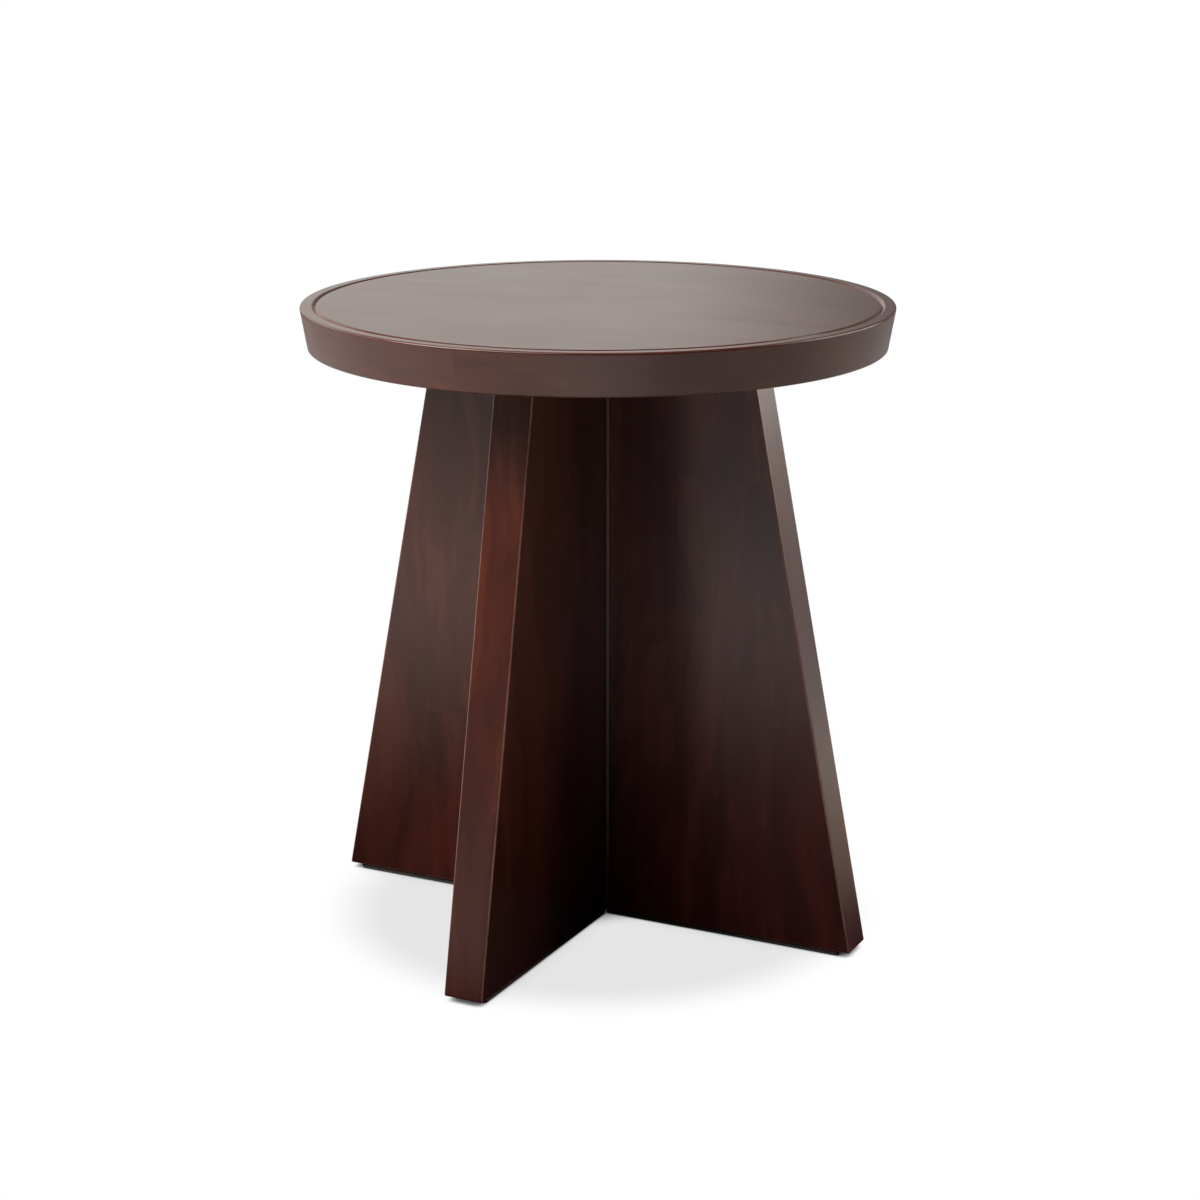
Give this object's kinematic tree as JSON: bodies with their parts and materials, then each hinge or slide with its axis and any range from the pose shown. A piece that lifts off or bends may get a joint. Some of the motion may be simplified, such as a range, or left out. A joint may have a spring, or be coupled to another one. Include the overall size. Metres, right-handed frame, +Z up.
{
  "type": "round side table with crossed plank base",
  "caption": "Low round table: thick round top with an undercut segmented rim, on tapered planks halved together into a cross base.",
  "frame": {"origin": "on the floor under the middle of the table, in the plane of the foot pads' undersides", "axes": "+Z up; the wings of plank A point along -X and +X, those of plank B along -Y and +Y"},
  "size_m": [0.4494, 0.4494, 0.488],
  "materials": {
    "dark_stained_wood": "dark red-brown stain under satin lacquer",
    "plywood": "stained plywood, satin lacquer",
    "pale_wood": "raw beech, unfinished",
    "zinc_steel": "bright zinc plate",
    "black_steel": "black oxide, satin",
    "felt": "dark brown pressed felt"
  },
  "bodies": {
    "root": {"base_screws": "zinc_steel", "bolt_washers": "zinc_steel", "corner_beads": "dark_stained_wood", "field_stave_1": "dark_stained_wood", "field_stave_2": "dark_stained_wood", "field_stave_3": "dark_stained_wood", "field_stave_4": "dark_stained_wood", "field_stave_5": "dark_stained_wood", "foot_pad_back": "felt", "foot_pad_front": "felt", "foot_pad_left": "felt", "foot_pad_right": "felt", "locating_dowels": "pale_wood", "mounting_disc": "plywood", "plank_a_stave_1": "dark_stained_wood", "plank_a_stave_2": "dark_stained_wood", "plank_a_stave_3": "dark_stained_wood", "plank_a_stave_4": "dark_stained_wood", "plank_a_stave_5": "dark_stained_wood", "plank_a_stave_6": "dark_stained_wood", "plank_b_stave_1": "dark_stained_wood", "plank_b_stave_2": "dark_stained_wood", "plank_b_stave_3": "dark_stained_wood", "plank_b_stave_4": "dark_stained_wood", "plank_b_stave_5": "dark_stained_wood", "plank_b_stave_6": "dark_stained_wood", "rim_joint_tenons": "pale_wood", "rim_segment_1": "dark_stained_wood", "rim_segment_2": "dark_stained_wood", "rim_segment_3": "dark_stained_wood", "rim_segment_4": "dark_stained_wood", "rim_segment_5": "dark_stained_wood", "rim_segment_6": "dark_stained_wood", "threaded_inserts": "zinc_steel", "top_bolts": "black_steel"}
  },
  "joints": []
}
